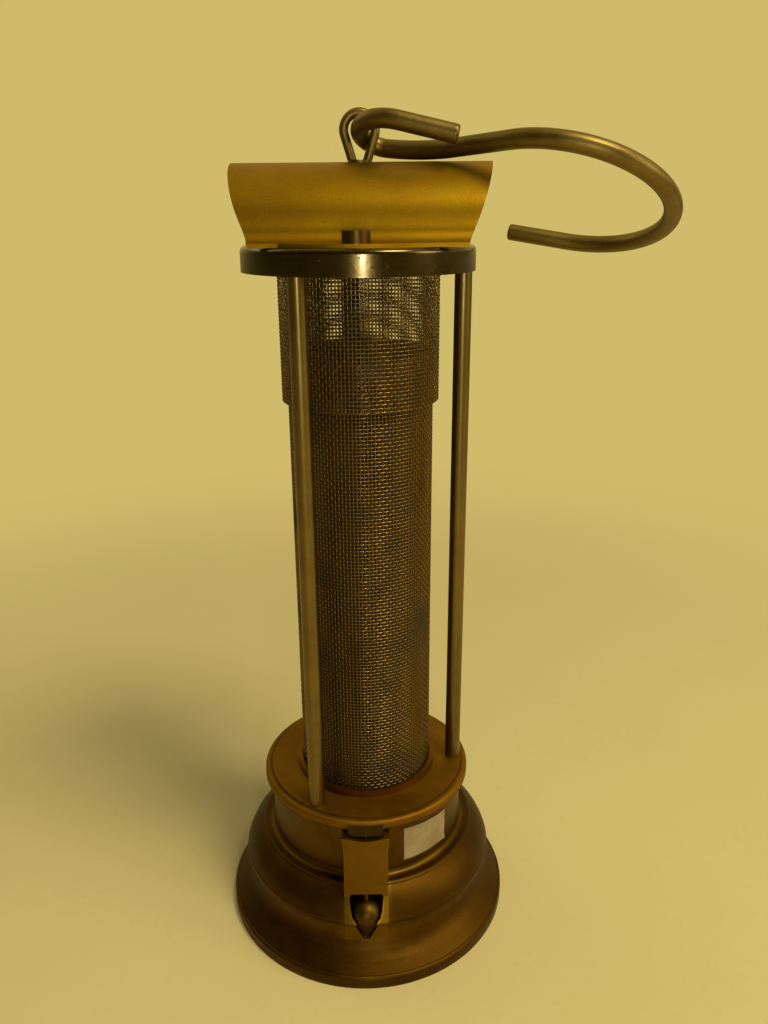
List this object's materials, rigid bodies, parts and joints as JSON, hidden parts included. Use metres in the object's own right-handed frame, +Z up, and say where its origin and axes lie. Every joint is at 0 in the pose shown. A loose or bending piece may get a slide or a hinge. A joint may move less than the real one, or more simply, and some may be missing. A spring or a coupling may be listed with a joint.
{
  "type": "gauze miner's safety lamp",
  "caption": "Miner's oil safety lamp with a moulded brass vessel, a pillar frame round a wire gauze chimney, a bent hood and a swinging hook.",
  "frame": {"origin": "centre of the foot rim's circle, on the ground", "axes": "+Z up along the lamp's axis, -Y to the lock on the front, +X to the hook's bow"},
  "size_m": [0.1304, 0.0922, 0.2465],
  "materials": {
    "dark_bronze": "dark brown patina, worn to metal on the edges",
    "hood_brass": "golden brass with brown stains",
    "ring_bronze": "dark brown patina, dull",
    "pillar_bronze": "brown patina, polished by handling",
    "gauze_wire": "woven iron wire, sooty and lightly rusted",
    "hook_wire": "dark bronze wire, worn",
    "lock_brass": "brass with dark stains in the corners",
    "burner_brass": "dull brass, oily",
    "leather_ring": "oiled leather",
    "cotton_wick": "cotton, charred on top",
    "pricker_wire": "iron wire",
    "screw_metal": "dark brown screw head"
  },
  "bodies": {
    "vessel": {"oil_vessel": "dark_bronze", "base_plate": "dark_bronze", "neck_collar": "burner_brass", "burner_plate": "burner_brass", "wick_tube": "burner_brass", "wick": "cotton_wick", "pricker_tube": "burner_brass", "lock_lug": "lock_brass"},
    "washer": {"seal_washer": "leather_ring"},
    "frame": {"lower_ring": "dark_bronze", "gauze_seat_ring": "lock_brass", "inner_gauze": "gauze_wire", "gauze_top": "gauze_wire", "gauze_cap": "gauze_wire", "cap_top": "gauze_wire", "pillar_front_left": "pillar_bronze", "pillar_right": "pillar_bronze", "pillar_back_left": "pillar_bronze", "top_ring": "ring_bronze", "hood": "hood_brass", "hood_screws": "screw_metal"},
    "swivel": {"swivel_eye": "hook_wire", "swivel_washer": "burner_brass"},
    "hanger": {"hook": "hook_wire"},
    "bolt": {"lock_bolt": "lock_brass"},
    "pricker_rod": {"pricker": "pricker_wire"}
  },
  "joints": [
    {"name": "frame_rise", "type": "slide", "parent": "vessel", "child": "washer", "axis": [0, 0, 1], "range_m": [0, 0.0045]},
    {"name": "frame_unscrew", "type": "hinge", "parent": "washer", "child": "frame", "pos_m": [0, 0, 0.0484], "axis": [0, 0, 1], "range_deg": [0, 1080]},
    {"name": "swivel_turn", "type": "hinge", "parent": "frame", "child": "swivel", "pos_m": [0.0008, 0, 0.2335], "axis": [0, 0, 1], "continuous": true},
    {"name": "hook_swing", "type": "hinge", "parent": "swivel", "child": "hanger", "pos_m": [0.0008, 0, 0.24087], "axis": [0, -0.9285, 0.3714], "range_deg": [0, 180]},
    {"name": "lock_slide", "type": "slide", "parent": "vessel", "child": "bolt", "axis": [0, 0.165, 0.9863], "range_m": [0, 0.0015]},
    {"name": "pricker_turn", "type": "hinge", "parent": "vessel", "child": "pricker_rod", "pos_m": [0, 0.012, 0.03], "axis": [0, 0, -1], "range_deg": [0, 180]}
  ],
  "couplings": [
    {"joint": "frame_rise", "follows": "frame_unscrew", "m_per_rad": 0.00023871}
  ]
}
